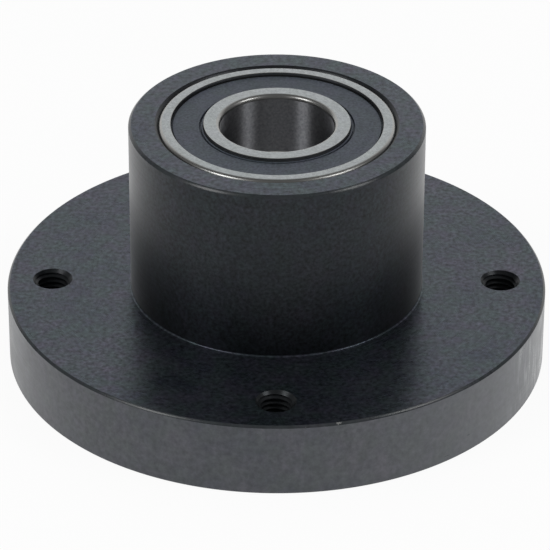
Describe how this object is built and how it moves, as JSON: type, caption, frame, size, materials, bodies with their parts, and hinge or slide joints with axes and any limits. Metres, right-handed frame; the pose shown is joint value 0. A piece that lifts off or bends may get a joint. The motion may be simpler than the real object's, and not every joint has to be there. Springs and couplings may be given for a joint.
{
  "type": "bearing housing",
  "caption": "Round flanged housing whose boss holds sealed ball bearings for a shaft, with tapped fixing holes in the flange.",
  "frame": {"origin": "centre of the flange's flat underside, on the bore axis", "axes": "+Z along the bore axis from the flange towards the boss; +X and +Y through tapped holes"},
  "size_m": [0.12, 0.12, 0.057],
  "materials": {
    "blackened_steel": "turned and blackened, satin",
    "ground_steel": "ground bearing steel, fine concentric lines",
    "polished_steel": "polished balls",
    "cage_steel": "pressed sheet steel",
    "turned_steel": "turned bright steel",
    "spring_steel": "blackened spring steel",
    "seal_rubber": "matte moulded nitrile rubber"
  },
  "bodies": {
    "housing": {"housing": "blackened_steel", "retaining_ring": "spring_steel", "upper_outer_ring": "ground_steel", "upper_seal_top": "seal_rubber", "upper_seal_bottom": "seal_rubber", "lower_outer_ring": "ground_steel", "lower_seal_top": "seal_rubber", "lower_seal_bottom": "seal_rubber"},
    "upper_inner": {"upper_inner_ring": "ground_steel"},
    "upper_cage": {"upper_cage_top": "cage_steel", "upper_cage_bottom": "cage_steel", "upper_cage_rivets": "cage_steel"},
    "upper_ball_1": {"upper_ball_1": "polished_steel"},
    "upper_ball_2": {"upper_ball_2": "polished_steel"},
    "upper_ball_3": {"upper_ball_3": "polished_steel"},
    "upper_ball_4": {"upper_ball_4": "polished_steel"},
    "upper_ball_5": {"upper_ball_5": "polished_steel"},
    "upper_ball_6": {"upper_ball_6": "polished_steel"},
    "upper_ball_7": {"upper_ball_7": "polished_steel"},
    "upper_ball_8": {"upper_ball_8": "polished_steel"},
    "upper_ball_9": {"upper_ball_9": "polished_steel"},
    "lower_inner": {"lower_inner_ring": "ground_steel", "inner_ring_spacer": "turned_steel"},
    "lower_cage": {"lower_cage_top": "cage_steel", "lower_cage_bottom": "cage_steel", "lower_cage_rivets": "cage_steel"},
    "lower_ball_1": {"lower_ball_1": "polished_steel"},
    "lower_ball_2": {"lower_ball_2": "polished_steel"},
    "lower_ball_3": {"lower_ball_3": "polished_steel"},
    "lower_ball_4": {"lower_ball_4": "polished_steel"},
    "lower_ball_5": {"lower_ball_5": "polished_steel"},
    "lower_ball_6": {"lower_ball_6": "polished_steel"},
    "lower_ball_7": {"lower_ball_7": "polished_steel"},
    "lower_ball_8": {"lower_ball_8": "polished_steel"},
    "lower_ball_9": {"lower_ball_9": "polished_steel"}
  },
  "joints": [
    {"name": "upper_inner_spin", "type": "hinge", "parent": "housing", "child": "upper_inner", "pos_m": [0, 0, 0.0495], "axis": [0, 0, 1], "continuous": true},
    {"name": "upper_cage_spin", "type": "hinge", "parent": "housing", "child": "upper_cage", "pos_m": [0, 0, 0.0495], "axis": [0, 0, 1], "continuous": true},
    {"name": "upper_ball_1_roll", "type": "hinge", "parent": "upper_cage", "child": "upper_ball_1", "pos_m": [0.01925, 0, 0.0495], "axis": [0, 0, 1], "continuous": true},
    {"name": "upper_ball_2_roll", "type": "hinge", "parent": "upper_cage", "child": "upper_ball_2", "pos_m": [0.01475, 0.01237, 0.0495], "axis": [0, 0, 1], "continuous": true},
    {"name": "upper_ball_3_roll", "type": "hinge", "parent": "upper_cage", "child": "upper_ball_3", "pos_m": [0.00334, 0.01896, 0.0495], "axis": [0, 0, 1], "continuous": true},
    {"name": "upper_ball_4_roll", "type": "hinge", "parent": "upper_cage", "child": "upper_ball_4", "pos_m": [-0.00962, 0.01667, 0.0495], "axis": [0, 0, 1], "continuous": true},
    {"name": "upper_ball_5_roll", "type": "hinge", "parent": "upper_cage", "child": "upper_ball_5", "pos_m": [-0.01809, 0.00658, 0.0495], "axis": [0, 0, 1], "continuous": true},
    {"name": "upper_ball_6_roll", "type": "hinge", "parent": "upper_cage", "child": "upper_ball_6", "pos_m": [-0.01809, -0.00658, 0.0495], "axis": [0, 0, 1], "continuous": true},
    {"name": "upper_ball_7_roll", "type": "hinge", "parent": "upper_cage", "child": "upper_ball_7", "pos_m": [-0.00962, -0.01667, 0.0495], "axis": [0, 0, 1], "continuous": true},
    {"name": "upper_ball_8_roll", "type": "hinge", "parent": "upper_cage", "child": "upper_ball_8", "pos_m": [0.00334, -0.01896, 0.0495], "axis": [0, 0, 1], "continuous": true},
    {"name": "upper_ball_9_roll", "type": "hinge", "parent": "upper_cage", "child": "upper_ball_9", "pos_m": [0.01475, -0.01237, 0.0495], "axis": [0, 0, 1], "continuous": true},
    {"name": "lower_inner_spin", "type": "hinge", "parent": "housing", "child": "lower_inner", "pos_m": [0, 0, 0.014], "axis": [0, 0, 1], "continuous": true},
    {"name": "lower_cage_spin", "type": "hinge", "parent": "housing", "child": "lower_cage", "pos_m": [0, 0, 0.014], "axis": [0, 0, 1], "continuous": true},
    {"name": "lower_ball_1_roll", "type": "hinge", "parent": "lower_cage", "child": "lower_ball_1", "pos_m": [0.01925, 0, 0.014], "axis": [0, 0, 1], "continuous": true},
    {"name": "lower_ball_2_roll", "type": "hinge", "parent": "lower_cage", "child": "lower_ball_2", "pos_m": [0.01475, 0.01237, 0.014], "axis": [0, 0, 1], "continuous": true},
    {"name": "lower_ball_3_roll", "type": "hinge", "parent": "lower_cage", "child": "lower_ball_3", "pos_m": [0.00334, 0.01896, 0.014], "axis": [0, 0, 1], "continuous": true},
    {"name": "lower_ball_4_roll", "type": "hinge", "parent": "lower_cage", "child": "lower_ball_4", "pos_m": [-0.00962, 0.01667, 0.014], "axis": [0, 0, 1], "continuous": true},
    {"name": "lower_ball_5_roll", "type": "hinge", "parent": "lower_cage", "child": "lower_ball_5", "pos_m": [-0.01809, 0.00658, 0.014], "axis": [0, 0, 1], "continuous": true},
    {"name": "lower_ball_6_roll", "type": "hinge", "parent": "lower_cage", "child": "lower_ball_6", "pos_m": [-0.01809, -0.00658, 0.014], "axis": [0, 0, 1], "continuous": true},
    {"name": "lower_ball_7_roll", "type": "hinge", "parent": "lower_cage", "child": "lower_ball_7", "pos_m": [-0.00962, -0.01667, 0.014], "axis": [0, 0, 1], "continuous": true},
    {"name": "lower_ball_8_roll", "type": "hinge", "parent": "lower_cage", "child": "lower_ball_8", "pos_m": [0.00334, -0.01896, 0.014], "axis": [0, 0, 1], "continuous": true},
    {"name": "lower_ball_9_roll", "type": "hinge", "parent": "lower_cage", "child": "lower_ball_9", "pos_m": [0.01475, -0.01237, 0.014], "axis": [0, 0, 1], "continuous": true}
  ],
  "couplings": [
    {"joint": "upper_cage_spin", "follows": "upper_inner_spin", "ratio": 0.39691},
    {"joint": "upper_ball_1_roll", "follows": "upper_inner_spin", "ratio": -2.322},
    {"joint": "upper_ball_2_roll", "follows": "upper_inner_spin", "ratio": -2.322},
    {"joint": "upper_ball_3_roll", "follows": "upper_inner_spin", "ratio": -2.322},
    {"joint": "upper_ball_4_roll", "follows": "upper_inner_spin", "ratio": -2.322},
    {"joint": "upper_ball_5_roll", "follows": "upper_inner_spin", "ratio": -2.322},
    {"joint": "upper_ball_6_roll", "follows": "upper_inner_spin", "ratio": -2.322},
    {"joint": "upper_ball_7_roll", "follows": "upper_inner_spin", "ratio": -2.322},
    {"joint": "upper_ball_8_roll", "follows": "upper_inner_spin", "ratio": -2.322},
    {"joint": "upper_ball_9_roll", "follows": "upper_inner_spin", "ratio": -2.322},
    {"joint": "lower_cage_spin", "follows": "lower_inner_spin", "ratio": 0.39691},
    {"joint": "lower_ball_1_roll", "follows": "lower_inner_spin", "ratio": -2.322},
    {"joint": "lower_ball_2_roll", "follows": "lower_inner_spin", "ratio": -2.322},
    {"joint": "lower_ball_3_roll", "follows": "lower_inner_spin", "ratio": -2.322},
    {"joint": "lower_ball_4_roll", "follows": "lower_inner_spin", "ratio": -2.322},
    {"joint": "lower_ball_5_roll", "follows": "lower_inner_spin", "ratio": -2.322},
    {"joint": "lower_ball_6_roll", "follows": "lower_inner_spin", "ratio": -2.322},
    {"joint": "lower_ball_7_roll", "follows": "lower_inner_spin", "ratio": -2.322},
    {"joint": "lower_ball_8_roll", "follows": "lower_inner_spin", "ratio": -2.322},
    {"joint": "lower_ball_9_roll", "follows": "lower_inner_spin", "ratio": -2.322}
  ]
}
